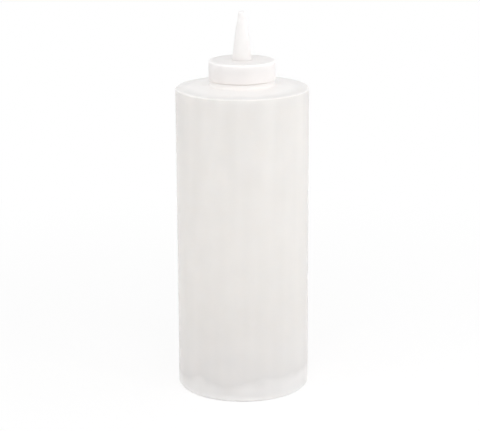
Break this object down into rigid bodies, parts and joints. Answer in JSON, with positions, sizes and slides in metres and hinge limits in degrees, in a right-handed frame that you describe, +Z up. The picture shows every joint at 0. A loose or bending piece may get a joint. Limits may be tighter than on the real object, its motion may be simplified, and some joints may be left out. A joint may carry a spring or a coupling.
{
  "type": "squeeze bottle",
  "caption": "Round plastic squeeze bottle for sauces, with a threaded neck, a sealing washer and a screw cap that carries an open cone spout.",
  "frame": {"origin": "centre of the ring that the bottle stands on, on the table", "axes": "+Z up along the bottle's axis, towards the spout; the body is round, and the neck's thread starts on +X"},
  "size_m": [0.0825, 0.0824, 0.2377],
  "materials": {
    "natural_polyethylene": "milky translucent, satin",
    "washer_foam": "fine closed-cell foam",
    "white_polyethylene": "smooth, satin"
  },
  "bodies": {
    "bottle": {"bottle": "natural_polyethylene"},
    "seal": {"sealing_washer": "washer_foam"},
    "cap": {"spout_cap": "white_polyethylene"}
  },
  "joints": [
    {"name": "cap_rise", "type": "slide", "parent": "bottle", "child": "seal", "axis": [0, 0, 1], "range_m": [0, 0.0127]},
    {"name": "cap_turn", "type": "hinge", "parent": "seal", "child": "cap", "pos_m": [0, 0, 0.2], "axis": [0, 0, 1], "range_deg": [0, 1080]}
  ],
  "couplings": [
    {"joint": "cap_rise", "follows": "cap_turn", "m_per_rad": 0.0006737}
  ]
}
